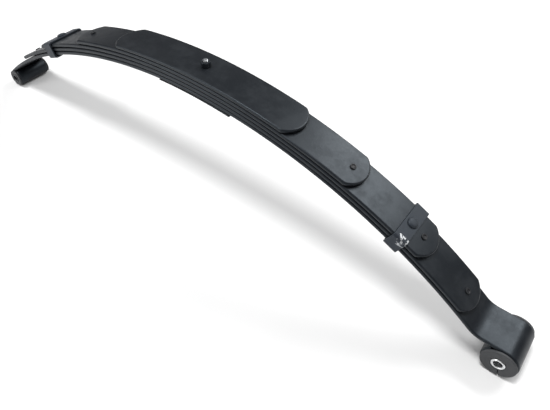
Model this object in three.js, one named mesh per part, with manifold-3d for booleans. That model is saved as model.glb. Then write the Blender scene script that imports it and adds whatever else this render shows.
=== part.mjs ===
// A five-leaf suspension spring that stands on its two eyes, arch up, as on a bench.
// Millimetres, +Z up. X runs from the rear eye to the front eye, Y is the width of the leaves.
// The spring is drawn with the crown of its arch on x = 0 and the floor on z = 0. At the end the
// group is shifted so that the middle of its base is the origin.
import * as THREE from "three";
import { mergeVertices } from "three/addons/utils/BufferGeometryUtils.js";
import Module from "manifold-3d";

const wasm = await Module();
wasm.setup();

// ---- Driving dimensions ----
const LEAF_WIDTH = 63.5;
const LEAF_THICKNESS = 6.35;
const ARC_RADIUS = 814; // underside of the main leaf
const ARCH_HEIGHT = 213; // floor to the underside of the main leaf, at its crown
const SEAT_FORWARD = 6.5; // from the crown to the centre bolt, along the main leaf
const TOUCH_GAP = 0.3; // between two pieces that touch
const FIT_GAP = 0.3; // round a pin in its hole

const FRONT_EYE_RADIUS = 26.4; // outside of the rolled eye
const REAR_EYE_RADIUS = 17.2;
const EYE_SLOT = 1.5; // between the end of a rolled eye and the leaf above it
const NECK_RADIUS = 35.6; // reverse bend behind the front eye, on the upper surface
const NECK_RUN = 30.9; // level stretch from the reverse bend to over the front eye's axis

// Each shorter leaf ends this far before the one it lies on. The second leaf ends before the neck.
const SECOND_LEAF_TO_NECK = 8;
const LEAF_STEPS = [0, 91.5, 128, 106.5];
const TIP_GAPS = [1.1, 1.5, 1.2, 0.6]; // air under each shorter leaf at its tip
const TIP_DEPTH = 18; // rise of the rounded tip
const STUD_FROM_TIP = 24;
const STUD_RADIUS = 4.5;
const STUD_PROUD = 1.8;
const PAD_RADIUS = 11;
const PAD_CLEARANCE = 0.35;

const BOLT_RADIUS = 4;
const BOLT_HEAD_LIP = 3; // beyond the shank
const BOLT_HEAD_HEIGHT = 6;
const BOLT_END_PROUD = 3;
const NUT_WALL = 2.5; // from the thread to a flat
const NUT_HEIGHT = 8;
const PLATE_LENGTH = 138;
const PLATE_REAR_THICKNESS = 0.8; // the plate is a wedge, thicker towards the front
const PLATE_FRONT_THICKNESS = 3.2;

const CLIP_FROM_TIP = 48; // from the third leaf's tip to the middle of the clip
const CLIP_WIDTH = 22;
const CLIP_THICKNESS = 3;
const CLIP_SIDE_GAP = 1;
const CLIP_FOOT_GAP = 1.2;
const CLIP_FOOT_REACH = 12; // how far each foot is bent in under the main leaf
const RIVET_RADIUS = 4;
const RIVET_HEAD_LIP = 4;
const RIVET_HEAD_HEIGHT = 3.5;

const FLANGE_THICKNESS = 3.5;
const FLANGE_INSET = 1.6; // from the outside of the eye to the edge of the flange
const FRONT_SLEEVE_BORE = 6.5; // radius
const FRONT_SLEEVE_WALL = 3.1;
const REAR_SLEEVE_BORE = 6;
const REAR_SLEEVE_WALL = 2;
const SLEEVE_PROUD = 0.7; // beyond each flange face

// ---- Mesh detail ----
const LEAF_SEGMENTS = 41; // odd, so that a level facet lies over the centre bolt
const EYE_SEGMENTS = 40;
const ROUND_SEGMENTS = 32;

// ---- Materials ----
const paintedSteel = (colour, roughness) =>
  new THREE.MeshStandardMaterial({ color: colour, roughness, metalness: 0.35 });
const rubber = () => new THREE.MeshStandardMaterial({ color: 0x1c1e20, roughness: 0.75, metalness: 0 });
const nylon = () => new THREE.MeshStandardMaterial({ color: 0x1a1b1d, roughness: 0.55, metalness: 0 });
const zincSteel = () => new THREE.MeshStandardMaterial({ color: 0xc9ccd0, roughness: 0.3, metalness: 1 });

// ---- Solids ----
const HALF_PI = Math.PI / 2;

function toSolid(geometry) {
  const bare = geometry.index ? geometry.toNonIndexed() : geometry.clone();
  bare.deleteAttribute("normal");
  bare.deleteAttribute("uv");
  const merged = mergeVertices(bare, 1e-4);
  return new wasm.Manifold(
    new wasm.Mesh({
      numProp: 3,
      vertProperties: merged.attributes.position.array,
      triVerts: new Uint32Array(merged.index.array),
    }),
  );
}

function toGeometry(solid) {
  const mesh = solid.getMesh();
  const geometry = new THREE.BufferGeometry();
  geometry.setAttribute("position", new THREE.BufferAttribute(mesh.vertProperties, 3));
  geometry.setIndex(new THREE.BufferAttribute(mesh.triVerts, 1));
  return geometry.toNonIndexed();
}

function withNormals(geometry) {
  geometry.computeVertexNormals();
  return geometry;
}

function cut(geometry, cutters) {
  return toGeometry(cutters.reduce((left, cutter) => left.subtract(toSolid(cutter)), toSolid(geometry)));
}

// Points along a circle from one angle to another, both ends included.
function arcPoints(centreX, centreZ, radius, from, to, segments) {
  return Array.from({ length: segments + 1 }, (_, i) => {
    const angle = from + ((to - from) * i) / segments;
    return new THREE.Vector2(centreX + radius * Math.cos(angle), centreZ + radius * Math.sin(angle));
  });
}

// A side view (x, z) given the full width of something, centred on y = 0.
function extrudeAcross(outline, width) {
  const geometry = new THREE.ExtrudeGeometry(new THREE.Shape(outline), { depth: width, bevelEnabled: false });
  return geometry.rotateX(Math.PI / 2).translate(0, width / 2, 0);
}

// A place on an arched leaf: its x axis runs outwards along the leaf and its z axis is the leaf's normal.
function placeOnArc(arc, angle, height) {
  const radius = arc.radius + height;
  const matrix = new THREE.Matrix4().makeRotationY(angle);
  return matrix.setPosition(radius * Math.sin(angle), 0, arc.centreZ + radius * Math.cos(angle));
}

function lathe(profile) {
  const points = profile.map(([radius, height]) => new THREE.Vector2(radius, height));
  points.push(points[0].clone());
  return new THREE.LatheGeometry(points, ROUND_SEGMENTS).rotateX(Math.PI / 2);
}

// ---- The arc of each leaf ----
const mainArc = { radius: ARC_RADIUS, centreZ: ARCH_HEIGHT - ARC_RADIUS };
const mainOuter = ARC_RADIUS + LEAF_THICKNESS;
const frontEyeTop = 2 * FRONT_EYE_RADIUS;
const neckCentreRadius = mainOuter + NECK_RADIUS;
const neckCentreZ = frontEyeTop + NECK_RADIUS;
const neckAngle = Math.acos((neckCentreZ - mainArc.centreZ) / neckCentreRadius);
const neckCentreX = neckCentreRadius * Math.sin(neckAngle);
const frontEyeX = neckCentreX + NECK_RUN;
const rearEyeReach = mainOuter - REAR_EYE_RADIUS;
const rearEyeAngle = Math.acos((REAR_EYE_RADIUS - mainArc.centreZ) / rearEyeReach);
const rearEyeX = -rearEyeReach * Math.sin(rearEyeAngle);

// Shorter leaves, from the one on the main leaf upwards. Each is a little flatter than the leaf
// below it, so that it lies on it at the centre bolt and stands off it at its tips.
const shorterLeaves = [];
let halfLength = ARC_RADIUS * neckAngle - SEAT_FORWARD - SECOND_LEAF_TO_NECK;
let arcBelow = mainArc;
for (let i = 0; i < LEAF_STEPS.length; i++) {
  halfLength -= LEAF_STEPS[i];
  const spread = (2 * (TIP_GAPS[i] - TOUCH_GAP)) / halfLength ** 2;
  const radius = 1 / (1 / (arcBelow.radius + LEAF_THICKNESS + TOUCH_GAP) - spread);
  const baseZ = ARCH_HEIGHT + (i + 1) * (LEAF_THICKNESS + TOUCH_GAP);
  const leaf = { radius, centreZ: baseZ - radius, baseZ, halfLength, tipGap: TIP_GAPS[i] };
  shorterLeaves.push(leaf);
  arcBelow = leaf;
}
const [secondArc, thirdArc, fourthArc, fifthArc] = shorterLeaves;
const packTop = fifthArc.baseZ + LEAF_THICKNESS;
const alongArc = (arc, distance) => distance / arc.radius;

// The shorter leaves and their fittings are drawn round a bolt on x = 0. This turns them about the
// centre of the main leaf's arc, to where the bolt goes through it.
const seat = new THREE.Matrix4().makeTranslation(0, 0, mainArc.centreZ);
seat.multiply(new THREE.Matrix4().makeRotationY(SEAT_FORWARD / ARC_RADIUS));
seat.multiply(new THREE.Matrix4().makeTranslation(0, 0, -mainArc.centreZ));

// ---- Holes ----
const boltHoleRadius = BOLT_RADIUS + FIT_GAP;
const boltHole = () =>
  new THREE.CylinderGeometry(boltHoleRadius, boltHoleRadius, 4 * ARCH_HEIGHT, ROUND_SEGMENTS).rotateX(HALF_PI);

function holeOnArc(arc, distance, radius) {
  const depth = 6 * LEAF_THICKNESS;
  const drill = new THREE.CylinderGeometry(radius, radius, depth, ROUND_SEGMENTS).rotateX(HALF_PI);
  return drill.applyMatrix4(placeOnArc(arc, alongArc(arc, distance), 0));
}

// ---- Main leaf with its two rolled eyes ----
function mainLeaf() {
  const frontTail = HALF_PI - 2 * Math.PI + Math.acos(1 - (LEAF_THICKNESS + EYE_SLOT) / FRONT_EYE_RADIUS);
  const rearStart = HALF_PI + rearEyeAngle;
  const rearTail = rearStart + 2 * Math.PI - Math.acos(1 - (LEAF_THICKNESS + EYE_SLOT) / REAR_EYE_RADIUS);
  const neckEnd = -HALF_PI - neckAngle;
  const neckLower = NECK_RADIUS + LEAF_THICKNESS;
  const outline = [
    ...arcPoints(frontEyeX, FRONT_EYE_RADIUS, FRONT_EYE_RADIUS, frontTail, HALF_PI, EYE_SEGMENTS),
    ...arcPoints(neckCentreX, neckCentreZ, NECK_RADIUS, -HALF_PI, neckEnd, 10),
    ...arcPoints(0, mainArc.centreZ, mainOuter, HALF_PI - neckAngle, rearStart, 2 * LEAF_SEGMENTS).slice(1, -1),
    ...arcPoints(rearEyeX, REAR_EYE_RADIUS, REAR_EYE_RADIUS, rearStart, rearTail, EYE_SEGMENTS),
    ...arcPoints(rearEyeX, REAR_EYE_RADIUS, REAR_EYE_RADIUS - LEAF_THICKNESS, rearTail, rearStart, EYE_SEGMENTS),
    ...arcPoints(0, mainArc.centreZ, ARC_RADIUS, rearStart, HALF_PI - neckAngle, 2 * LEAF_SEGMENTS).slice(1, -1),
    ...arcPoints(neckCentreX, neckCentreZ, neckLower, neckEnd, -HALF_PI, 10),
    ...arcPoints(frontEyeX, FRONT_EYE_RADIUS, FRONT_EYE_RADIUS - LEAF_THICKNESS, HALF_PI, frontTail, EYE_SEGMENTS),
  ];
  return cut(extrudeAcross(outline, LEAF_WIDTH), [boltHole().applyMatrix4(seat)]);
}

// ---- Shorter leaves ----
// Everything beyond a leaf's rounded tip, drawn flat with the tip at the origin.
function tipCutter() {
  const half = LEAF_WIDTH / 2;
  const margin = LEAF_THICKNESS;
  const radius = (half ** 2 + TIP_DEPTH ** 2) / (2 * TIP_DEPTH);
  const reach = Math.asin(Math.min(1, half / radius));
  const start = TIP_DEPTH > half ? Math.PI - reach : reach;
  const outline = [
    new THREE.Vector2(margin, -half - margin),
    new THREE.Vector2(margin, half + margin),
    new THREE.Vector2(-TIP_DEPTH, half + margin),
    ...arcPoints(-radius, 0, radius, start, -start, 24),
    new THREE.Vector2(-TIP_DEPTH, -half - margin),
  ];
  const depth = 3 * LEAF_THICKNESS;
  const geometry = new THREE.ExtrudeGeometry(new THREE.Shape(outline), { depth, bevelEnabled: false });
  return geometry.translate(0, 0, -LEAF_THICKNESS);
}

function shorterLeaf(arc, holes) {
  const overrun = LEAF_THICKNESS / 2;
  const reach = alongArc(arc, arc.halfLength + overrun);
  const outline = [
    ...arcPoints(0, arc.centreZ, arc.radius + LEAF_THICKNESS, HALF_PI - reach, HALF_PI + reach, LEAF_SEGMENTS),
    ...arcPoints(0, arc.centreZ, arc.radius, HALF_PI + reach, HALF_PI - reach, LEAF_SEGMENTS),
  ];
  const cutters = [boltHole()];
  for (const end of [1, -1]) {
    const turn = new THREE.Matrix4().makeRotationZ(end > 0 ? 0 : Math.PI);
    const place = placeOnArc(arc, end * alongArc(arc, arc.halfLength), 0);
    cutters.push(tipCutter().applyMatrix4(turn).applyMatrix4(place));
    for (const hole of holes) cutters.push(holeOnArc(arc, end * hole.at, hole.radius));
  }
  return cut(extrudeAcross(outline, LEAF_WIDTH), cutters);
}

const studHole = (arc) => ({ at: arc.halfLength - STUD_FROM_TIP, radius: STUD_RADIUS + FIT_GAP });
const clipDistance = thirdArc.halfLength - CLIP_FROM_TIP;
const rivetHole = { at: clipDistance, radius: RIVET_RADIUS + FIT_GAP };

// ---- Tip pads: a thin disc under the leaf with a stud that shows on top ----
function tipPad(arc) {
  const share = ((arc.halfLength - STUD_FROM_TIP) / arc.halfLength) ** 2;
  const air = TOUCH_GAP + (arc.tipGap - TOUCH_GAP) * share;
  const discTop = -PAD_CLEARANCE;
  const discBase = Math.min(PAD_CLEARANCE - air, discTop - 0.2);
  const studTop = LEAF_THICKNESS + STUD_PROUD;
  const crown = STUD_RADIUS / 3;
  return lathe([
    [0, discBase],
    [PAD_RADIUS, discBase],
    [PAD_RADIUS, discTop],
    [STUD_RADIUS, discTop],
    [STUD_RADIUS, studTop - crown],
    [STUD_RADIUS - crown, studTop],
    [0, studTop],
  ]);
}

// ---- Rebound clips ----
// Cross-section (y, height) of the strap round the pack: over the third leaf, down both sides
// and in under the main leaf.
function clipStrap() {
  const packDepth = (distance) => {
    const place = new THREE.Vector3().setFromMatrixPosition(
      placeOnArc(thirdArc, alongArc(thirdArc, distance), LEAF_THICKNESS),
    );
    const toMainCentre = Math.hypot(place.x, place.z - mainArc.centreZ);
    return toMainCentre - ARC_RADIUS;
  };
  const inner = LEAF_WIDTH / 2 + CLIP_SIDE_GAP;
  const outer = inner + CLIP_THICKNESS;
  const under = TOUCH_GAP + 0.1;
  const floor = -packDepth(clipDistance) - CLIP_FOOT_GAP;
  const footTip = inner - CLIP_FOOT_REACH;
  const bend = CLIP_THICKNESS * 1.5;
  const crease = CLIP_SIDE_GAP; // clears the corner of the leaf
  const half = [
    [footTip, floor],
    [inner - crease, floor],
    [inner, floor + crease],
    [inner, under - crease],
    [inner - crease, under],
  ];
  const outside = [
    [outer - bend, under + CLIP_THICKNESS],
    [outer, under + CLIP_THICKNESS - bend],
    [outer, floor - CLIP_THICKNESS + bend],
    [outer - bend, floor - CLIP_THICKNESS],
    [footTip, floor - CLIP_THICKNESS],
  ];
  const mirrored = (points) => points.map(([y, z]) => [-y, z]).reverse();
  const outline = [...half, ...mirrored(half), ...mirrored(outside), ...outside];
  const shape = new THREE.Shape(outline.map(([y, z]) => new THREE.Vector2(y, z)));
  const strap = new THREE.ExtrudeGeometry(shape, { depth: CLIP_WIDTH, bevelEnabled: false });
  strap.translate(0, 0, -CLIP_WIDTH / 2).rotateX(HALF_PI).rotateZ(HALF_PI);
  const hole = new THREE.CylinderGeometry(rivetHole.radius, rivetHole.radius, 20, ROUND_SEGMENTS);
  return cut(strap, [hole.rotateX(HALF_PI)]);
}

function clipRivet() {
  const strapTop = 2 * TOUCH_GAP + 0.1 + CLIP_THICKNESS;
  const dome = RIVET_HEAD_HEIGHT;
  const headRadius = RIVET_RADIUS + RIVET_HEAD_LIP;
  return lathe([
    [0, -LEAF_THICKNESS],
    [RIVET_RADIUS, -LEAF_THICKNESS],
    [RIVET_RADIUS, strapTop],
    [headRadius, strapTop],
    [headRadius, strapTop + 0.3 * dome],
    [headRadius * 0.85, strapTop + 0.7 * dome],
    [headRadius * 0.5, strapTop + dome],
    [0, strapTop + dome],
  ]);
}

// ---- Centre bolt, its nut and the plate under the pack ----
const plateTop = ARCH_HEIGHT - TOUCH_GAP;
const plateTaper = (PLATE_FRONT_THICKNESS - PLATE_REAR_THICKNESS) / PLATE_LENGTH;
const boltHeadRadius = BOLT_RADIUS + BOLT_HEAD_LIP;
const plateAtBoltHead = (PLATE_FRONT_THICKNESS + PLATE_REAR_THICKNESS) / 2 + plateTaper * boltHeadRadius;
const boltHeadTop = plateTop - plateAtBoltHead - TOUCH_GAP;
const nutBase = packTop + TOUCH_GAP;

function centrePlate() {
  const radius = ARC_RADIUS - TOUCH_GAP;
  const reach = PLATE_LENGTH / 2 / radius;
  const segments = 9;
  const top = arcPoints(0, mainArc.centreZ, radius, HALF_PI - reach, HALF_PI + reach, segments);
  const centre = new THREE.Vector2(0, mainArc.centreZ);
  const underside = top.map((point, i) => {
    const thickness = THREE.MathUtils.lerp(PLATE_FRONT_THICKNESS, PLATE_REAR_THICKNESS, i / segments);
    return point.clone().sub(centre).setLength(radius - thickness).add(centre);
  });
  const outline = [...top, ...underside.reverse()];
  return cut(extrudeAcross(outline, LEAF_WIDTH), [boltHole()]);
}

function centreBolt() {
  const end = nutBase + NUT_HEIGHT + BOLT_END_PROUD;
  const chamfer = BOLT_RADIUS / 4;
  return lathe([
    [0, boltHeadTop - BOLT_HEAD_HEIGHT],
    [boltHeadRadius - chamfer, boltHeadTop - BOLT_HEAD_HEIGHT],
    [boltHeadRadius, boltHeadTop - BOLT_HEAD_HEIGHT + chamfer],
    [boltHeadRadius, boltHeadTop],
    [BOLT_RADIUS, boltHeadTop],
    [BOLT_RADIUS, end - chamfer],
    [BOLT_RADIUS - chamfer, end],
    [0, end],
  ]);
}

function centreNut() {
  const radius = (BOLT_RADIUS + NUT_WALL) / Math.cos(Math.PI / 6);
  const hexagon = new THREE.CylinderGeometry(radius, radius, NUT_HEIGHT, 6).rotateX(HALF_PI);
  return cut(hexagon.translate(0, 0, nutBase + NUT_HEIGHT / 2), [boltHole()]);
}

// ---- Bushes and sleeves ----
const flangeBase = LEAF_WIDTH / 2 + TOUCH_GAP;
const flangeFace = flangeBase + FLANGE_THICKNESS;

// One half of a two-piece bush, drawn along +Z from the middle of the eye to its flange.
function bushHalf(eyeRadius, sleeveRadius) {
  const bore = sleeveRadius + FIT_GAP;
  const body = eyeRadius - LEAF_THICKNESS - FIT_GAP;
  const flangeRadius = eyeRadius - FLANGE_INSET;
  const edge = FLANGE_THICKNESS / 4;
  return lathe([
    [bore, TOUCH_GAP],
    [body, TOUCH_GAP],
    [body, flangeBase],
    [flangeRadius, flangeBase],
    [flangeRadius, flangeFace - edge],
    [flangeRadius - edge, flangeFace],
    [bore, flangeFace],
  ]);
}

function sleeve(radius, bore) {
  const half = flangeFace + SLEEVE_PROUD;
  return lathe([
    [bore, -half],
    [radius, -half],
    [radius, half],
    [bore, half],
  ]);
}

// ---- Assembly ----
const spring = new THREE.Group();
const pack = new THREE.Group();
pack.applyMatrix4(seat);
spring.add(pack);

function add(name, geometry, material, parent) {
  const mesh = new THREE.Mesh(withNormals(geometry), material);
  mesh.name = name;
  parent.add(mesh);
  return mesh;
}

function addOnArc(name, geometry, material, arc, distance, height) {
  const mesh = add(name, geometry, material, pack);
  mesh.applyMatrix4(placeOnArc(arc, alongArc(arc, distance), height));
}

add("main_leaf", mainLeaf(), paintedSteel(0x25282c, 0.42), spring);
add("second_leaf", shorterLeaf(secondArc, [studHole(secondArc)]), paintedSteel(0x26292d, 0.42), pack);
add("third_leaf", shorterLeaf(thirdArc, [studHole(thirdArc), rivetHole]), paintedSteel(0x292c31, 0.4), pack);
add("fourth_leaf", shorterLeaf(fourthArc, [studHole(fourthArc)]), paintedSteel(0x292c31, 0.4), pack);
add("fifth_leaf", shorterLeaf(fifthArc, []), paintedSteel(0x25282c, 0.42), pack);
add("centre_plate", centrePlate(), paintedSteel(0x232629, 0.5), pack);
add("centre_bolt", centreBolt(), paintedSteel(0x2c2e32, 0.4), pack);
add("centre_nut", centreNut(), paintedSteel(0x2c2e32, 0.4), pack);

for (const [end, side] of [["front", 1], ["rear", -1]]) {
  for (const [leafName, arc] of [["second", secondArc], ["third", thirdArc], ["fourth", fourthArc]]) {
    const distance = side * (arc.halfLength - STUD_FROM_TIP);
    addOnArc(`${leafName}_leaf_pad_${end}`, tipPad(arc), nylon(), arc, distance, 0);
  }
  const clipAt = [thirdArc, side * clipDistance, LEAF_THICKNESS];
  addOnArc(`rebound_clip_${end}`, clipStrap(), paintedSteel(0x24272b, 0.45), ...clipAt);
  addOnArc(`clip_rivet_${end}`, clipRivet(), paintedSteel(0x24272b, 0.4), ...clipAt);
}

const eyes = [
  { end: "front", x: frontEyeX, eye: FRONT_EYE_RADIUS, bore: FRONT_SLEEVE_BORE, wall: FRONT_SLEEVE_WALL },
  { end: "rear", x: rearEyeX, eye: REAR_EYE_RADIUS, bore: REAR_SLEEVE_BORE, wall: REAR_SLEEVE_WALL },
];
for (const { end, x, eye, bore, wall } of eyes) {
  const group = new THREE.Group();
  group.position.set(x, 0, eye);
  spring.add(group);
  for (const [side, direction] of [["left", 1], ["right", -1]]) {
    const half = bushHalf(eye, bore + wall).rotateX(-direction * HALF_PI);
    add(`${end}_bush_${side}`, half, rubber(), group);
  }
  add(`${end}_sleeve`, sleeve(bore + wall, bore).rotateX(HALF_PI), zincSteel(), group);
}

// The origin is the middle of the base.
const box = new THREE.Box3().setFromObject(spring, true);
const middle = box.getCenter(new THREE.Vector3());
spring.position.set(-middle.x, -middle.y, -box.min.z);

export default spring;
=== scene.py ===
import bpy
import bmesh
from math import acos, asin, cos, hypot, pi, radians, sin, tan
from mathutils import Matrix, Vector


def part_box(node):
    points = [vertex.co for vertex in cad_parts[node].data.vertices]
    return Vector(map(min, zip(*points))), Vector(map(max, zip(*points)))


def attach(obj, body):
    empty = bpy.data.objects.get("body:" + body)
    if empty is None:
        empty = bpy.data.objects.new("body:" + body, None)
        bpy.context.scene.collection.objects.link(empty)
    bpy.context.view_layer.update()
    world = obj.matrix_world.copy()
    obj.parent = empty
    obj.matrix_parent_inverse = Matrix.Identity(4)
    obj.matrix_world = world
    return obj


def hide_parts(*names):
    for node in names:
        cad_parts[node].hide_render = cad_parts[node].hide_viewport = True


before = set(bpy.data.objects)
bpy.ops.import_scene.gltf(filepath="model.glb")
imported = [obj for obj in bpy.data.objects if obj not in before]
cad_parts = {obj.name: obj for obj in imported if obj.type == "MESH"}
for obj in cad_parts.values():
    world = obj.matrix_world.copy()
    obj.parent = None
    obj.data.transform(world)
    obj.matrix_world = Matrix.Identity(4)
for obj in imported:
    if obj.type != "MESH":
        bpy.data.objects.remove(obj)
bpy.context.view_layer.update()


# ---- Main leaf ----
# The longest leaf of the spring. It is one bar of round-edged spring steel, bent to the arch while hot,
# with its ends rolled into the two eyes, the front one after a reverse bend. It is quenched and painted.
LEAF_WIDTH = 0.0635
LEAF_THICKNESS = 0.00635
LEAF_EDGE = 0.0026
ARC_RADIUS = 0.814
CROWN_HEIGHT = 0.213
FRONT_EYE_RADIUS = 0.0264
REAR_EYE_RADIUS = 0.0172
EYE_SLOT = 0.0015
NECK_RADIUS = 0.0356
NECK_RUN = 0.0309
CUT_EDGE = 0.0005
SAME_PLACE = 1e-7
OBJECT_COORDINATES = 3  # the output of a Texture Coordinate node
ALONG_EYES = Vector((0, 1, 0))
PAINT = (0.0052, 0.0063, 0.0085)
PAINT_DUST = (0.045, 0.048, 0.052)
PAINT_SHEEN = (0.78, 0.90, 1.0, 1.0)
BARE_STEEL = (0.42, 0.43, 0.44)


def middle_of(node):
    low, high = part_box(node)
    return (low + high) / 2


front_eye = middle_of("front_sleeve")
rear_eye = middle_of("rear_sleeve")
arc_centre_z = CROWN_HEIGHT - ARC_RADIUS
outer_radius = ARC_RADIUS + LEAF_THICKNESS
neck_centre = Vector((front_eye.x - NECK_RUN, 0, front_eye.z + FRONT_EYE_RADIUS + NECK_RADIUS))
neck_angle = acos((neck_centre.z - arc_centre_z) / (outer_radius + NECK_RADIUS))
crown_x = neck_centre.x - (outer_radius + NECK_RADIUS) * sin(neck_angle)
rear_angle = acos((rear_eye.z - arc_centre_z) / (outer_radius - REAR_EYE_RADIUS))
arc_centre = Vector((crown_x, 0, arc_centre_z))


class Shade:
    """A socket of a shader, which adds Math nodes as it is worked with."""

    def __init__(self, tree, socket):
        self.tree = tree
        self.socket = socket

    def maths(self, operation, left, right):
        return node_of(self.tree, "ShaderNodeMath", {"operation": operation}, {0: left, 1: right})

    def __add__(self, other):
        return self.maths("ADD", self, other)

    def __radd__(self, other):
        return self.maths("ADD", other, self)

    def __sub__(self, other):
        return self.maths("SUBTRACT", self, other)

    def __rsub__(self, other):
        return self.maths("SUBTRACT", other, self)

    def __mul__(self, other):
        return self.maths("MULTIPLY", self, other)

    def __rmul__(self, other):
        return self.maths("MULTIPLY", other, self)

    def __gt__(self, other):
        return self.maths("GREATER_THAN", self, other)

    def __lt__(self, other):
        return self.maths("LESS_THAN", self, other)


def node_of(tree, kind, settings=None, inputs=None, output=0):
    made = tree.nodes.new(kind)
    for key, value in (settings or {}).items():
        setattr(made, key, value)
    for key, value in (inputs or {}).items():
        if isinstance(value, Shade):
            tree.links.new(value.socket, made.inputs[key])
        else:
            made.inputs[key].default_value = value
    return Shade(tree, made.outputs[output])


def new_material(name, **constants):
    material = bpy.data.materials.new(name)
    material.use_nodes = True
    tree = material.node_tree
    surface = tree.nodes["Principled BSDF"]
    for socket, value in constants.items():
        surface.inputs[socket.replace("_", " ")].default_value = value
    return material, tree, surface


def noise(tree, place, scale, detail=3.0, roughness=0.5):
    return node_of(tree, "ShaderNodeTexNoise", {}, {
        "Vector": place, "Scale": scale, "Detail": detail, "Roughness": roughness})


def fade(tree, value, low, high):
    return node_of(tree, "ShaderNodeMapRange", {"interpolation_type": "SMOOTHSTEP"}, {
        "Value": value, "From Min": low, "From Max": high, "To Min": 0.0, "To Max": 1.0})


def blend_colours(tree, amount, first, second):
    """A colour mix. Either colour is three numbers or a Shade."""
    made = tree.nodes.new("ShaderNodeMix")
    made.data_type = "RGBA"
    tree.links.new(amount.socket, made.inputs["Factor"])
    for socket, colour in ((made.inputs[6], first), (made.inputs[7], second)):
        if isinstance(colour, Shade):
            tree.links.new(colour.socket, socket)
        else:
            socket.default_value = (*colour, 1.0)
    return Shade(tree, made.outputs[2])


def connect(surface, tree, **values):
    for socket, value in values.items():
        tree.links.new(value.socket, surface.inputs[socket.replace("_", " ")])


def bump(tree, height, strength, distance):
    return node_of(tree, "ShaderNodeBump", {}, {"Height": height, "Strength": strength, "Distance": distance})


def steel_paint(name, tone=1.0, gloss=0.3, dust=0.35, chips=0.0, chip_box=None):
    """Semi-gloss paint over rolled steel: a faint orange peel, scale pits, a film of dust and fine specks."""
    material, tree, surface = new_material(name, Specular_IOR_Level=0.3, Specular_Tint=PAINT_SHEEN)
    place = node_of(tree, "ShaderNodeTexCoord", output=OBJECT_COORDINATES)
    broad = noise(tree, place, 14.0, 4.0, 0.6)
    fine = noise(tree, place, 260.0, 3.0)
    specks = fade(tree, noise(tree, place, 900.0, 1.0), 0.70, 0.76)
    patches = fade(tree, noise(tree, place, 38.0, 5.0, 0.65), 0.42, 0.68)
    film = fade(tree, broad, 0.35, 0.75) * (dust * 0.25) + patches * (dust * 0.35) + specks * (dust * 0.9)
    ground = tuple(channel * tone for channel in PAINT)
    colour = blend_colours(tree, film, ground, PAINT_DUST)
    rough = gloss - 0.02 + 0.10 * broad + 0.08 * fine + 0.2 * specks + 0.09 * patches
    peel = noise(tree, place, 420.0, 2.0)
    pits = fade(tree, noise(tree, place, 130.0, 4.0, 0.7), 0.30, 0.40)
    relief = peel * 0.35 + pits * 0.5 + broad * 3.0
    if chip_box:
        low, high = chip_box
        axes = tree.nodes.new("ShaderNodeSeparateXYZ")
        tree.links.new(place.socket, axes.inputs[0])
        inside = None
        for axis in range(3):
            value = Shade(tree, axes.outputs[axis])
            part = (value > low[axis]) * (value < high[axis])
            inside = part if inside is None else inside * part
        worn = fade(tree, noise(tree, place, 210.0, 5.0, 0.6), 1.0 - chips, 1.02 - chips) * inside
        colour = blend_colours(tree, worn, colour, BARE_STEEL)
        connect(surface, tree, Metallic=worn * 0.9)
        rough = rough - worn * 0.08
        relief = relief - worn * 1.2
    connect(surface, tree, Base_Color=colour, Roughness=rough)
    tree.links.new(bump(tree, relief, 0.25, 0.0003).socket, surface.inputs["Normal"])
    return material


def finished(form, name, material, slot, *nodes, body="spring_pack", crease=38):
    """Makes a piece of the finished form. It stands for the nodes and rides on the body."""
    bmesh.ops.recalc_face_normals(form, faces=form.faces[:])
    mesh = bpy.data.meshes.new(name)
    form.to_mesh(mesh)
    form.free()
    for face in mesh.polygons:
        face.use_smooth = True
    mesh.set_sharp_from_angle(angle=radians(crease))
    mesh.materials.append(material)
    piece = bpy.data.objects.new(name, mesh)
    bpy.context.scene.collection.objects.link(piece)
    flat_shading = piece.modifiers.new("even shading", "WEIGHTED_NORMAL")
    flat_shading.keep_sharp = True
    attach(piece, body)
    if nodes:
        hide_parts(*nodes)
    return piece


def bar_end(form, width, thickness, edge, place):
    """The rounded cross-section of a flat bar, thickness along its x axis and width along y."""
    made = bmesh.ops.create_grid(form, x_segments=1, y_segments=1, size=0.5)["verts"]
    bmesh.ops.scale(form, vec=(thickness, width, 1), verts=made)
    bmesh.ops.bevel(form, geom=made, offset=edge, segments=6, profile=0.5, affect="VERTICES", material=-1)
    bmesh.ops.transform(form, matrix=place, verts=form.verts[:])
    return form.edges[:]


def edges_of(geometry):
    return [part for part in geometry if isinstance(part, bmesh.types.BMEdge)]


def verts_of(geometry):
    return [part for part in geometry if isinstance(part, bmesh.types.BMVert)]


def turned(form, edges, centre, angle, steps, axis=-ALONG_EYES):
    """Sweeps a section round an axis and returns its last place."""
    made = bmesh.ops.spin(form, geom=edges, cent=centre, axis=axis, angle=angle, steps=steps)
    return edges_of(made["geom_last"])


def drawn(form, edges, offset):
    """Sweeps a section straight and returns its last place."""
    made = bmesh.ops.extrude_edge_only(form, edges=edges)["geom"]
    bmesh.ops.translate(form, vec=offset, verts=verts_of(made))
    verts = set(verts_of(made))
    return [edge for edge in edges_of(made) if edge.verts[0] in verts and edge.verts[1] in verts]


def radial(angle):
    return Vector((cos(angle), 0, sin(angle)))


leaf_paint = steel_paint("leaf paint")
front_tail = -1.5 * pi + acos(1 - (LEAF_THICKNESS + EYE_SLOT) / FRONT_EYE_RADIUS)
rear_wrap = 2 * pi - acos(1 - (LEAF_THICKNESS + EYE_SLOT) / REAR_EYE_RADIUS)
outwards = radial(front_tail)
tail_place = Matrix((outwards, ALONG_EYES, outwards.cross(ALONG_EYES))).transposed().to_4x4()
tail_place.translation = front_eye + outwards * (FRONT_EYE_RADIUS - LEAF_THICKNESS / 2)

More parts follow.
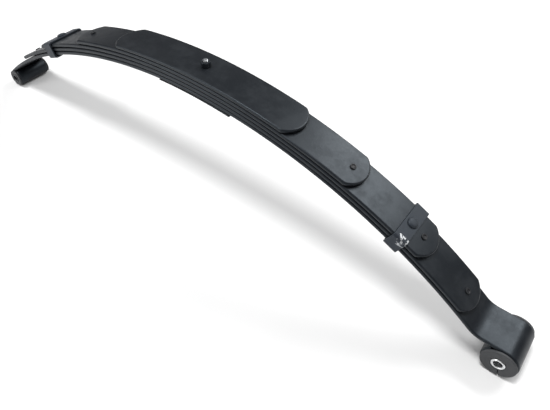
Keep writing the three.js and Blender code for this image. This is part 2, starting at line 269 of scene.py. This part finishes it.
bar = bmesh.new()
section = bar_end(bar, LEAF_WIDTH, LEAF_THICKNESS, LEAF_EDGE, tail_place)
front_end = bar.faces[:]
section = turned(bar, section, front_eye, pi / 2 - front_tail, 84)
section = drawn(bar, section, (-NECK_RUN, 0, 0))
section = turned(bar, section, neck_centre, neck_angle, 16, ALONG_EYES)
section = turned(bar, section, arc_centre, neck_angle + rear_angle, 150)
section = turned(bar, section, rear_eye, rear_wrap, 72)
rear_end = bmesh.ops.contextual_create(bar, geom=section)["faces"]
cut_edges = [edge for face in front_end + rear_end for edge in face.edges]
bmesh.ops.bevel(bar, geom=cut_edges, offset=CUT_EDGE, segments=2, profile=0.5, affect="EDGES", material=-1)
finished(bar, "main_leaf_bar", leaf_paint, "leaf_paint", "main_leaf")


# ---- Shorter leaves ----
# Four graduated leaves of the same steel, laid on the main leaf. Each is sheared to a shallow rounded
# tip and bent a little flatter than the leaf below it, so that the pack touches at the seat.
TIP_DEPTH = 0.018
TIP_CORNER = 0.0018
STATION_STEP = 0.008
TOUCH_GAP = 0.0003
SEAT_FORWARD = 0.0065
SECOND_LEAF_TO_NECK = 0.008
LEAVES = [
    ("second_leaf", 0, 0.0011),
    ("third_leaf", 0.0915, 0.0015),
    ("fourth_leaf", 0.128, 0.0012),
    ("fifth_leaf", 0.1065, 0.0006),
]

# The shorter leaves and their fittings are drawn round an upright bolt at x = 0, then turned to the seat.
at_seat = Matrix.Translation(arc_centre) @ Matrix.Rotation(SEAT_FORWARD / ARC_RADIUS, 4, "Y")
at_seat = at_seat @ Matrix.Translation((0, 0, -arc_centre_z))


def thickened(form, height, edge, segments):
    """Gives a flat face on z = 0 a thickness, up or down, and rounds the rims of both sides."""
    raised = bmesh.ops.extrude_face_region(form, geom=form.faces[:], use_keep_orig=True)["geom"]
    bmesh.ops.translate(form, vec=(0, 0, height), verts=verts_of(raised))
    rims = [rim for rim in form.edges if abs(rim.verts[0].co.z - rim.verts[1].co.z) < SAME_PLACE]
    bmesh.ops.bevel(form, geom=rims, offset=edge, segments=segments, profile=0.5, affect="EDGES", material=-1)


def blank(half_length, half_width, thickness, tip_depth, edge):
    """A flat strip on z = 0 with shallow round tips, long in x, with its edges rolled round."""
    form = bmesh.new()
    radius = (half_width ** 2 + tip_depth ** 2) / (2 * tip_depth)
    reach = asin(half_width / radius)
    rows = []
    for end in (1, -1):
        corner = form.verts.new((end * (half_length - tip_depth), -end * half_width, 0))
        tip = bmesh.ops.spin(form, geom=[corner], cent=(end * (half_length - radius), 0, 0), axis=(0, 0, 1),
                             angle=2 * reach, steps=22)
        rows.append((corner, verts_of(tip["geom_last"])[0]))
    form.edges.new((rows[0][1], rows[1][0]))
    form.edges.new((rows[1][1], rows[0][0]))
    corners = [vert for row in rows for vert in row]
    bmesh.ops.bevel(form, geom=corners, offset=TIP_CORNER, segments=3, profile=0.5, affect="VERTICES",
                    material=-1)
    bmesh.ops.contextual_create(form, geom=form.edges[:])
    thickened(form, thickness, edge, 5)
    return form


def stations(form, half_length, step):
    """Cuts a flat blank across at even steps, so that it can be bent."""
    count = int(half_length / step)
    for i in range(-count, count + 1):
        parts = form.verts[:] + form.edges[:] + form.faces[:]
        bmesh.ops.bisect_plane(form, geom=parts, dist=SAME_PLACE, plane_co=(i * step, 0, 0),
                               plane_no=(1, 0, 0))


def bent(form, radius, centre_z):
    """Bends a flat blank to an arc. Lengths are kept on its underside."""
    for vert in form.verts:
        angle = vert.co.x / radius
        reach = radius + vert.co.z
        vert.co = (reach * sin(angle), vert.co.y, centre_z + reach * cos(angle))
    bmesh.ops.triangulate(form, faces=[face for face in form.faces if len(face.verts) > 4])


leaf_arcs = {}
half_length = ARC_RADIUS * neck_angle - SEAT_FORWARD - SECOND_LEAF_TO_NECK
radius_below = ARC_RADIUS
for layer, (name, step_back, tip_gap) in enumerate(LEAVES, start=1):
    half_length -= step_back
    flattening = 2 * (tip_gap - TOUCH_GAP) / half_length ** 2
    radius = 1 / (1 / (radius_below + LEAF_THICKNESS + TOUCH_GAP) - flattening)
    base = CROWN_HEIGHT + layer * (LEAF_THICKNESS + TOUCH_GAP)
    leaf_arcs[name] = (radius, base - radius, half_length, tip_gap)
    radius_below = radius
    leaf = blank(half_length, LEAF_WIDTH / 2, LEAF_THICKNESS, TIP_DEPTH, LEAF_EDGE)
    stations(leaf, half_length, STATION_STEP)
    bent(leaf, radius, base - radius)
    bmesh.ops.transform(leaf, matrix=at_seat, verts=leaf.verts[:])
    finished(leaf, name + "_bar", leaf_paint, "leaf_paint", name)


def on_leaf(leaf, distance, height=0.0):
    """The place on a leaf at a distance from the bolt, x along the leaf and z square to it."""
    radius, centre_z = leaf_arcs[leaf][:2]
    angle = distance / radius
    reach = radius + height
    spot = Matrix.Translation((reach * sin(angle), 0, centre_z + reach * cos(angle)))
    return at_seat @ spot @ Matrix.Rotation(angle, 4, "Y")


# ---- Centre plate ----
# A wedge of mild steel under the middle of the pack, thicker towards the front, which tilts the axle.
# It is planed to its taper, bent to the main leaf and held by the centre bolt.
PLATE_LENGTH = 0.138
PLATE_REAR_THICKNESS = 0.0008
PLATE_FRONT_THICKNESS = 0.0032
PLATE_CORNER = 0.002
PLATE_EDGE = 0.0006
PLATE_STEP = 0.006

plate_paint = steel_paint("plate paint", tone=0.8, gloss=0.4, dust=0.5)
plate = bmesh.new()
sheet = bmesh.ops.create_grid(plate, x_segments=1, y_segments=1, size=0.5)["verts"]
bmesh.ops.scale(plate, vec=(PLATE_LENGTH, LEAF_WIDTH, 1), verts=sheet)
bmesh.ops.bevel(plate, geom=sheet, offset=PLATE_CORNER, segments=4, profile=0.5, affect="VERTICES",
                material=-1)
thickened(plate, -PLATE_FRONT_THICKNESS, PLATE_EDGE, 3)
stations(plate, PLATE_LENGTH / 2, PLATE_STEP)
plate_taper = (PLATE_FRONT_THICKNESS - PLATE_REAR_THICKNESS) / PLATE_LENGTH
plate_middle = (PLATE_FRONT_THICKNESS + PLATE_REAR_THICKNESS) / 2
for vert in plate.verts:
    vert.co.z *= (plate_middle + plate_taper * vert.co.x) / PLATE_FRONT_THICKNESS
bent(plate, ARC_RADIUS - TOUCH_GAP, arc_centre_z)
bmesh.ops.transform(plate, matrix=at_seat, verts=plate.verts[:])
finished(plate, "seat_plate", plate_paint, "plate_paint", "centre_plate")


# ---- Centre bolt and nut ----
# An M8 bolt ties the pack together. Its cheese head, under the plate, locates the axle, and its nut
# stands on the top leaf with a few threads showing. Both are zinc plated and painted with the pack.
BOLT_RADIUS = 0.004
BOLT_HEAD_RADIUS = 0.007
BOLT_HEAD_HEIGHT = 0.006
BOLT_END_PROUD = 0.003
NUT_HALF_FLATS = 0.0065
NUT_HEIGHT = 0.008
THREAD_PITCH = 0.00125
THREAD_DEPTH = 0.0006


def spun(profile, steps=64):
    """Turns a profile of (radius, height) about the z axis into a closed round solid."""
    form = bmesh.new()
    verts = [form.verts.new((radius, 0, height)) for radius, height in profile]
    chain = [form.edges.new(pair) for pair in zip(verts, verts[1:])]
    bmesh.ops.spin(form, geom=chain, cent=(0, 0, 0), axis=(0, 0, 1), angle=2 * pi, steps=steps,
                   use_merge=True)
    bmesh.ops.remove_doubles(form, verts=form.verts[:], dist=1e-6)
    return form


def rounded(corners, radius, segments=4):
    """Rounds the inner corners of a profile with short arcs, each no wider than its sides allow."""
    points = [Vector(corner) for corner in corners]
    out = [tuple(points[0])]
    for before, corner, after in zip(points, points[1:], points[2:]):
        size = min(radius, (before - corner).length * 0.45, (after - corner).length * 0.45)
        start = corner + (before - corner).normalized() * size
        end = corner + (after - corner).normalized() * size
        for i in range(segments + 1):
            share = i / segments
            out.append(tuple(start.lerp(corner, share).lerp(corner.lerp(end, share), share)))
    out.append(tuple(points[-1]))
    return out


pack_top = CROWN_HEIGHT + 5 * LEAF_THICKNESS + 4 * TOUCH_GAP
nut_base = pack_top + TOUCH_GAP
nut_top = nut_base + NUT_HEIGHT
bolt_end = nut_top + BOLT_END_PROUD
worn_end = at_seat @ Vector((0, 0, bolt_end))
worn_reach = Vector((BOLT_RADIUS, BOLT_RADIUS, 2 * THREAD_PITCH))
fastener = steel_paint("painted fastener", tone=1.5, gloss=0.3, dust=0.6, chips=0.52,
                       chip_box=(worn_end - worn_reach, worn_end + worn_reach))
head_top = CROWN_HEIGHT - 2 * TOUCH_GAP - plate_middle - plate_taper * BOLT_HEAD_RADIUS
thread = []
height = nut_top - 2 * THREAD_PITCH
while height < bolt_end - THREAD_PITCH:
    thread += [(BOLT_RADIUS - THREAD_DEPTH, height), (BOLT_RADIUS, height + THREAD_PITCH / 2)]
    height += THREAD_PITCH
bolt = spun([
    (0, head_top - BOLT_HEAD_HEIGHT),
    (BOLT_HEAD_RADIUS - 0.001, head_top - BOLT_HEAD_HEIGHT),
    (BOLT_HEAD_RADIUS - 0.0003, head_top - BOLT_HEAD_HEIGHT + 0.0003),
    (BOLT_HEAD_RADIUS, head_top - BOLT_HEAD_HEIGHT + 0.001),
    (BOLT_HEAD_RADIUS, head_top - 0.0004),
    (BOLT_HEAD_RADIUS - 0.0004, head_top),
    (BOLT_RADIUS, head_top),
    *thread,
    (BOLT_RADIUS - THREAD_DEPTH, height),
    (BOLT_RADIUS - 0.001, bolt_end - 0.0002),
    (BOLT_RADIUS - 0.0014, bolt_end),
    (0.0012, bolt_end),
    (0.0, bolt_end - 0.0006),
], 48)
bmesh.ops.transform(bolt, matrix=at_seat, verts=bolt.verts[:])
finished(bolt, "centre_bolt_turned", fastener, "fastener", "centre_bolt", crease=25)

nut_corner = NUT_HALF_FLATS / cos(pi / 6)
nut_round = NUT_HALF_FLATS * 0.97
chamfer = (nut_corner - nut_round) * tan(radians(30))
nut = spun([
    (BOLT_RADIUS + 0.0003, nut_base),
    (nut_round, nut_base),
    (nut_corner + 0.0003, nut_base + chamfer),
    (nut_corner + 0.0003, nut_top - chamfer),
    (nut_round, nut_top),
    (BOLT_RADIUS + 0.0009, nut_top),
    (BOLT_RADIUS + 0.0003, nut_top - 0.0006),
    (BOLT_RADIUS + 0.0003, nut_base),
], 96)
for i in range(6):
    flat = Vector((cos(i * pi / 3), sin(i * pi / 3), 0))
    parts = nut.verts[:] + nut.edges[:] + nut.faces[:]
    cut = bmesh.ops.bisect_plane(nut, geom=parts, dist=SAME_PLACE, plane_co=flat * NUT_HALF_FLATS,
                                 plane_no=flat, clear_outer=True)
    bmesh.ops.contextual_create(nut, geom=edges_of(cut["geom_cut"]))
bmesh.ops.transform(nut, matrix=at_seat, verts=nut.verts[:])
finished(nut, "centre_nut_hex", fastener, "fastener", "centre_nut", crease=25)


# ---- Tip pads ----
# A thin disc of black nylon between the tips of two leaves, where they slide on one another. Its stud
# is pressed up through a hole in the upper leaf and shows as a small dished button.
STUD_FROM_TIP = 0.024
STUD_RADIUS = 0.0045
STUD_PROUD = 0.0018
PAD_RADIUS = 0.011
PAD_CLEARANCE = 0.00035

nylon, nylon_tree, nylon_surface = new_material("black nylon", Specular_IOR_Level=0.3)
nylon_place = node_of(nylon_tree, "ShaderNodeTexCoord", output=OBJECT_COORDINATES)
nylon_grain = noise(nylon_tree, nylon_place, 1500.0, 2.0)
nylon_cloud = noise(nylon_tree, nylon_place, 60.0, 3.0)
connect(nylon_surface, nylon_tree,
        Base_Color=blend_colours(nylon_tree, nylon_cloud, (0.006, 0.007, 0.009), (0.011, 0.012, 0.014)),
        Roughness=0.38 + 0.2 * nylon_cloud,
        Normal=bump(nylon_tree, nylon_grain, 0.2, 0.0001))

for leaf in ("second_leaf", "third_leaf", "fourth_leaf"):
    length, tip_gap = leaf_arcs[leaf][2:]
    share = ((length - STUD_FROM_TIP) / length) ** 2
    air = TOUCH_GAP + (tip_gap - TOUCH_GAP) * share
    disc_top = -PAD_CLEARANCE
    disc_base = min(PAD_CLEARANCE - air, disc_top - 0.0002)
    stud_top = LEAF_THICKNESS + STUD_PROUD
    for end, side in (("front", 1), ("rear", -1)):
        pad = spun(rounded([
            (0, disc_base),
            (PAD_RADIUS, disc_base),
            (PAD_RADIUS, disc_top),
            (STUD_RADIUS, disc_top),
            (STUD_RADIUS, stud_top),
            (STUD_RADIUS * 0.66, stud_top),
            (STUD_RADIUS * 0.5, stud_top - 0.001),
            (0, stud_top - 0.001),
        ], 0.0006), 40)
        bmesh.ops.transform(pad, matrix=on_leaf(leaf, side * (length - STUD_FROM_TIP)), verts=pad.verts[:])
        finished(pad, f"{leaf}_slip_pad_{end}", nylon, "pad_nylon", f"{leaf}_pad_{end}")


# ---- Rebound clips ----
# A strap of 3 mm mild steel round the three lower leaves, which keeps them together on rebound. It is
# bent cold to a U over the third leaf, its feet are closed in under the main leaf, and it is painted.
CLIP_WIDTH = 0.022
CLIP_THICKNESS = 0.003
CLIP_FROM_TIP = 0.048
CLIP_SIDE_GAP = 0.001
CLIP_FOOT_GAP = 0.0012
CLIP_FOOT_REACH = 0.012
CLIP_BEND = 0.0015
CLIP_EDGE = 0.0008
CLIP_CUT_EDGE = 0.0004
CLIP_REST_GAP = 0.0001
CHIPS_BEFORE_BEND = Vector((0.003, 0.006, 0.009))
CHIPS_PAST_BEND = Vector((0.013, 0.006, 0.007))

third_radius, third_centre_z, third_length = leaf_arcs["third_leaf"][:3]
clip_distance = third_length - CLIP_FROM_TIP
clip_angle = clip_distance / third_radius
clip_top_reach = third_radius + LEAF_THICKNESS
pack_depth = hypot(clip_top_reach * sin(clip_angle),
                   third_centre_z + clip_top_reach * cos(clip_angle) - arc_centre_z) - ARC_RADIUS
clip_under = TOUCH_GAP + CLIP_REST_GAP
clip_floor = -pack_depth - CLIP_FOOT_GAP
clip_inner = LEAF_WIDTH / 2 + CLIP_SIDE_GAP
foot_tip = clip_inner - CLIP_FOOT_REACH
ALONG_LEAF = Vector((1, 0, 0))
chipped = on_leaf("third_leaf", clip_distance, LEAF_THICKNESS) @ Vector((0, -clip_inner, 0))
# The clip paint is three times the leaves' ground colour with a heavier dust film, so it is lighter: painted
# sheen where the clip catches the back light. The rivets share it.
clip_paints_with_painted_sheen = {
    "front": steel_paint("clip paint, chipped", tone=3.0, gloss=0.40, dust=0.7, chips=0.50,
                         chip_box=(chipped - CHIPS_BEFORE_BEND, chipped + CHIPS_PAST_BEND)),
    "rear": steel_paint("clip paint", tone=3.0, gloss=0.40, dust=0.7),
}

for end, side in (("front", 1), ("rear", -1)):
    clip = bmesh.new()
    start = Matrix.Translation((0, foot_tip, clip_floor - CLIP_THICKNESS / 2)) @ Matrix(
        ((0, 1, 0, 0), (0, 0, 1, 0), (1, 0, 0, 0), (0, 0, 0, 1)))
    strap = bar_end(clip, CLIP_WIDTH, CLIP_THICKNESS, CLIP_EDGE, start)
    foot = clip.faces[:]
    straight = clip_inner - CLIP_BEND - foot_tip
    rise = clip_under - clip_floor - 2 * CLIP_BEND
    strap = drawn(clip, strap, (0, straight, 0))
    centre = Vector((0, clip_inner - CLIP_BEND, clip_floor + CLIP_BEND))
    strap = turned(clip, strap, centre, pi / 2, 8, ALONG_LEAF)
    strap = drawn(clip, strap, (0, 0, rise))
    centre = Vector((0, clip_inner - CLIP_BEND, clip_under - CLIP_BEND))
    strap = turned(clip, strap, centre, pi / 2, 8, ALONG_LEAF)
    strap = drawn(clip, strap, (0, -2 * (clip_inner - CLIP_BEND), 0))
    strap = turned(clip, strap, Vector((0, -centre.y, centre.z)), pi / 2, 8, ALONG_LEAF)
    strap = drawn(clip, strap, (0, 0, -rise))
    centre = Vector((0, -clip_inner + CLIP_BEND, clip_floor + CLIP_BEND))
    strap = turned(clip, strap, centre, pi / 2, 8, ALONG_LEAF)
    strap = drawn(clip, strap, (0, straight, 0))
    foot += bmesh.ops.contextual_create(clip, geom=strap)["faces"]
    cut_edges = [edge for face in foot for edge in face.edges]
    bmesh.ops.bevel(clip, geom=cut_edges, offset=CLIP_CUT_EDGE, segments=2, profile=0.5, affect="EDGES",
                    material=-1)
    place = on_leaf("third_leaf", side * clip_distance, LEAF_THICKNESS)
    bmesh.ops.transform(clip, matrix=place, verts=clip.verts[:])
    finished(clip, f"rebound_strap_{end}", clip_paints_with_painted_sheen[end], "clip_paint", f"rebound_clip_{end}")


# ---- Clip rivets ----
# A round-headed steel rivet through each clip and the third leaf. Its head is set hot, so it is a little
# flat on top, and it is painted with the clip.
RIVET_RADIUS = 0.004
RIVET_HEAD_RADIUS = 0.008
RIVET_HEAD_HEIGHT = 0.0035
RIVET_RIM = 0.0006
DOME_STEPS = 10
DOME_FLATNESS = 0.6

strap_top = 2 * TOUCH_GAP + CLIP_REST_GAP + CLIP_THICKNESS
for end, side in (("front", 1), ("rear", -1)):
    dome = [(RIVET_HEAD_RADIUS, strap_top), (RIVET_HEAD_RADIUS, strap_top + RIVET_RIM)]
    for i in range(1, DOME_STEPS + 1):
        turn = i / DOME_STEPS * pi / 2
        dome.append((RIVET_HEAD_RADIUS * cos(turn) ** DOME_FLATNESS if i < DOME_STEPS else 0,
                     strap_top + RIVET_RIM + (RIVET_HEAD_HEIGHT - RIVET_RIM) * sin(turn)))
    shank = [(0, -LEAF_THICKNESS), (RIVET_RADIUS, -LEAF_THICKNESS), (RIVET_RADIUS, strap_top)]
    rivet = spun(shank + dome, 48)
    place = on_leaf("third_leaf", side * clip_distance, LEAF_THICKNESS)
    bmesh.ops.transform(rivet, matrix=place, verts=rivet.verts[:])
    finished(rivet, f"clip_rivet_head_{end}", clip_paints_with_painted_sheen["rear"], "clip_paint", f"clip_rivet_{end}")


# ---- Bushes ----
# Each eye holds two halves of a moulded rubber bush, pushed in from the sides until the flange meets
# the leaf. The near half of the large one has the slit that lets it close over its sleeve.
FLANGE_THICKNESS = 0.0035
FLANGE_INSET = 0.0016
FIT_GAP = 0.0003
BUSH_SLIT = 0.0016
BUSH_SLIT_ANGLE = radians(70)  # below the level of the sleeve, towards the front
FRONT_SLEEVE = (0.0065, 0.0096)
REAR_SLEEVE = (0.006, 0.008)

rubber, rubber_tree, rubber_surface = new_material("moulded rubber", IOR=1.5)
rubber_place = node_of(rubber_tree, "ShaderNodeTexCoord", output=OBJECT_COORDINATES)
rubber_grain = noise(rubber_tree, rubber_place, 1100.0, 3.0)
rubber_bloom = noise(rubber_tree, rubber_place, 45.0, 4.0, 0.6)
bloom = fade(rubber_tree, rubber_bloom, 0.3, 0.8)
connect(rubber_surface, rubber_tree,
        Base_Color=blend_colours(rubber_tree, bloom, (0.026, 0.028, 0.031), (0.050, 0.052, 0.056)),
        Roughness=0.55 + 0.25 * bloom + 0.05 * rubber_grain,
        Normal=bump(rubber_tree, rubber_grain * 0.5 + rubber_bloom, 0.3, 0.0002))

flange_base = LEAF_WIDTH / 2 + TOUCH_GAP
flange_face = flange_base + FLANGE_THICKNESS
for end, eye, eye_radius, (bore, outside) in (("front", front_eye, FRONT_EYE_RADIUS, FRONT_SLEEVE),
                                              ("rear", rear_eye, REAR_EYE_RADIUS, REAR_SLEEVE)):
    inner = outside + FIT_GAP
    body_radius = eye_radius - LEAF_THICKNESS - FIT_GAP
    flange_radius = eye_radius - FLANGE_INSET
    lip = min(0.0022, (flange_radius - inner) / 4)
    profile = rounded([
        (inner, TOUCH_GAP + 0.002),
        (inner, TOUCH_GAP),
        (body_radius, TOUCH_GAP),
        (body_radius, flange_base),
        (flange_radius, flange_base),
        (flange_radius, flange_face),
        (inner + lip, flange_face),
        (inner + lip * 0.6, flange_face - 0.0006),
        (inner, flange_face - 0.0006),
        (inner, TOUCH_GAP + 0.002),
    ], 0.001)
    for side, direction in (("left", 1), ("right", -1)):
        split = end == "front" and side == "right"
        opening = BUSH_SLIT / body_radius if split else 0
        bush = bmesh.new()
        verts = [bush.verts.new((radius, 0, height)) for radius, height in profile[:-1]]
        ring = [bush.edges.new(pair) for pair in zip(verts, verts[1:] + verts[:1])]
        made = bmesh.ops.spin(bush, geom=ring, cent=(0, 0, 0), axis=(0, 0, 1), angle=2 * pi - opening,
                              steps=96, use_merge=not split)
        if split:
            bmesh.ops.contextual_create(bush, geom=ring)
            bmesh.ops.contextual_create(bush, geom=edges_of(made["geom_last"]))
        bmesh.ops.remove_doubles(bush, verts=bush.verts[:], dist=1e-6)
        turn = Matrix.Rotation(-direction * pi / 2, 4, "X")
        turn = turn @ Matrix.Rotation(direction * BUSH_SLIT_ANGLE, 4, "Z")
        bmesh.ops.transform(bush, matrix=Matrix.Translation(eye) @ turn, verts=bush.verts[:])
        finished(bush, f"{end}_bush_half_{side}", rubber, "bush_rubber", f"{end}_bush_{side}")


# ---- Inner sleeves ----
# A turned steel tube through each bush, which the bolt of the hanger or shackle clamps. Its ends are
# faced and broken with a small chamfer. The front one is zinc plated and the rear one is only oiled.
SLEEVE_PROUD = 0.0007
SLEEVE_CHAMFER = 0.0006

zinc, zinc_tree, zinc_surface = new_material("zinc plated steel", Metallic=1.0)
zinc_place = node_of(zinc_tree, "ShaderNodeTexCoord", output=OBJECT_COORDINATES)
zinc_cloud = noise(zinc_tree, zinc_place, 220.0, 4.0)
zinc_marks = noise(zinc_tree, zinc_place, 2200.0, 2.0)
connect(zinc_surface, zinc_tree,
        Base_Color=blend_colours(zinc_tree, zinc_cloud, (0.72, 0.73, 0.74), (0.86, 0.87, 0.88)),
        Roughness=0.22 + 0.16 * zinc_cloud,
        Normal=bump(zinc_tree, zinc_marks, 0.15, 0.0001))

oiled, oiled_tree, oiled_surface = new_material("oiled steel", Metallic=1.0)
oiled_place = node_of(oiled_tree, "ShaderNodeTexCoord", output=OBJECT_COORDINATES)
oiled_cloud = noise(oiled_tree, oiled_place, 180.0, 4.0)
connect(oiled_surface, oiled_tree,
        Base_Color=blend_colours(oiled_tree, oiled_cloud, (0.05, 0.052, 0.056), (0.12, 0.123, 0.128)),
        Roughness=0.35 + 0.25 * oiled_cloud,
        Normal=bump(oiled_tree, oiled_cloud, 0.2, 0.0001))

for end, eye, steel, (bore, outside) in (("front", front_eye, zinc, FRONT_SLEEVE),
                                         ("rear", rear_eye, oiled, REAR_SLEEVE)):
    half = flange_face + SLEEVE_PROUD
    sleeve = spun([
        (bore, -half + SLEEVE_CHAMFER),
        (bore + SLEEVE_CHAMFER, -half),
        (outside - SLEEVE_CHAMFER, -half),
        (outside, -half + SLEEVE_CHAMFER),
        (outside, half - SLEEVE_CHAMFER),
        (outside - SLEEVE_CHAMFER, half),
        (bore + SLEEVE_CHAMFER, half),
        (bore, half - SLEEVE_CHAMFER),
        (bore, -half + SLEEVE_CHAMFER),
    ], 80)
    place = Matrix.Translation(eye) @ Matrix.Rotation(pi / 2, 4, "X")
    bmesh.ops.transform(sleeve, matrix=place, verts=sleeve.verts[:])
    finished(sleeve, f"{end}_turned_sleeve", steel, "sleeve_steel", f"{end}_sleeve",
             body=f"{end}_inner_sleeve", crease=25)


# ---- Floor ----
# A plain pale floor that the spring stands on with its two eyes. It isn't part of the spring.
FLOOR_SIZE = 14.0

floor_paint, floor_tree, floor_surface = new_material("white floor", Roughness=0.9)
floor_place = node_of(floor_tree, "ShaderNodeTexCoord", output=OBJECT_COORDINATES)
floor_cloud = noise(floor_tree, floor_place, 3.0, 2.0)
connect(floor_surface, floor_tree,
        Base_Color=blend_colours(floor_tree, floor_cloud, (0.74, 0.74, 0.74), (0.76, 0.76, 0.76)))
ground = bmesh.new()
bmesh.ops.create_grid(ground, x_segments=2, y_segments=2, size=FLOOR_SIZE / 2)
floor_mesh = bpy.data.meshes.new("floor")
ground.to_mesh(floor_mesh)
ground.free()
floor_mesh.materials.append(floor_paint)
floor = bpy.data.objects.new("floor", floor_mesh)
bpy.context.scene.collection.objects.link(floor)


# ---- Light ----
# A pale backdrop in a room that is darker towards its walls. A wide soft light overhead lays the shadow
# under the arch, one behind the spring shows as a sheen on the leaves, and one lights their near edges.
WALL_LIGHT = 0.08
CEILING_LIGHT = 0.40
BACKDROP = 0.9

room = bpy.data.worlds.new("pale room")
room.use_nodes = True
room_axes = room.node_tree.nodes.new("ShaderNodeSeparateXYZ")
room_place = node_of(room.node_tree, "ShaderNodeTexCoord", output=0)
room.node_tree.links.new(room_place.socket, room_axes.inputs[0])
height_seen = Shade(room.node_tree, room_axes.outputs[2])
glow = WALL_LIGHT + fade(room.node_tree, height_seen, 0.0, 0.7) * (CEILING_LIGHT - WALL_LIGHT)
glow = glow + node_of(room.node_tree, "ShaderNodeLightPath") * BACKDROP
room.node_tree.links.new(glow.socket, room.node_tree.nodes["Background"].inputs["Strength"])
room.node_tree.nodes["Background"].inputs["Color"].default_value = (1.0, 1.0, 1.0, 1.0)
bpy.context.scene.world = room
bpy.context.scene.view_settings.view_transform = "Standard"


def placed_light(name, kind, place, target, energy):
    lamp = bpy.data.lights.new(name, kind)
    lamp.energy = energy
    light = bpy.data.objects.new(name, lamp)
    bpy.context.scene.collection.objects.link(light)
    light.location = place
    light.rotation_euler = (Vector(target) - Vector(place)).to_track_quat("-Z", "Y").to_euler()
    return lamp


overhead = placed_light("overhead light", "SUN", (-0.7, -0.4, 2.5), (0, 0, 0), 2.45)
overhead.angle = radians(17)
for name, place, target, size, power in (
        ("back light", (0.85, 2.1, 2.3), (0.2, 0, 0.15), (1.9, 0.8), 66),
        ("edge light", (-1.1, -1.5, 0.75), (-0.15, 0, 0.2), (0.9, 0.5), 16)):
    lamp = placed_light(name, "AREA", place, target, power)
    lamp.shape = "RECTANGLE"
    lamp.size, lamp.size_y = size


# ---- Camera ----
# Above the front half of the spring on its near side, looking down along the arch.
CAMERA_PLACE = (0.44902, -0.47601, 0.67748)
CAMERA_RIGHT = (0.801923, 0.596373, 0.035469)
CAMERA_UP = (-0.462286, 0.581823, 0.669159)
LENS_MM = 34.33

camera_data = bpy.data.cameras.new("camera")
camera_data.sensor_width = 36.0
camera_data.lens = LENS_MM
camera_data.clip_start = 0.01
camera = bpy.data.objects.new("camera", camera_data)
bpy.context.scene.collection.objects.link(camera)
right, up = Vector(CAMERA_RIGHT), Vector(CAMERA_UP)
view = Matrix((right, up, right.cross(up))).transposed().to_4x4()
view.translation = Vector(CAMERA_PLACE)
camera.matrix_world = view
bpy.context.scene.camera = camera
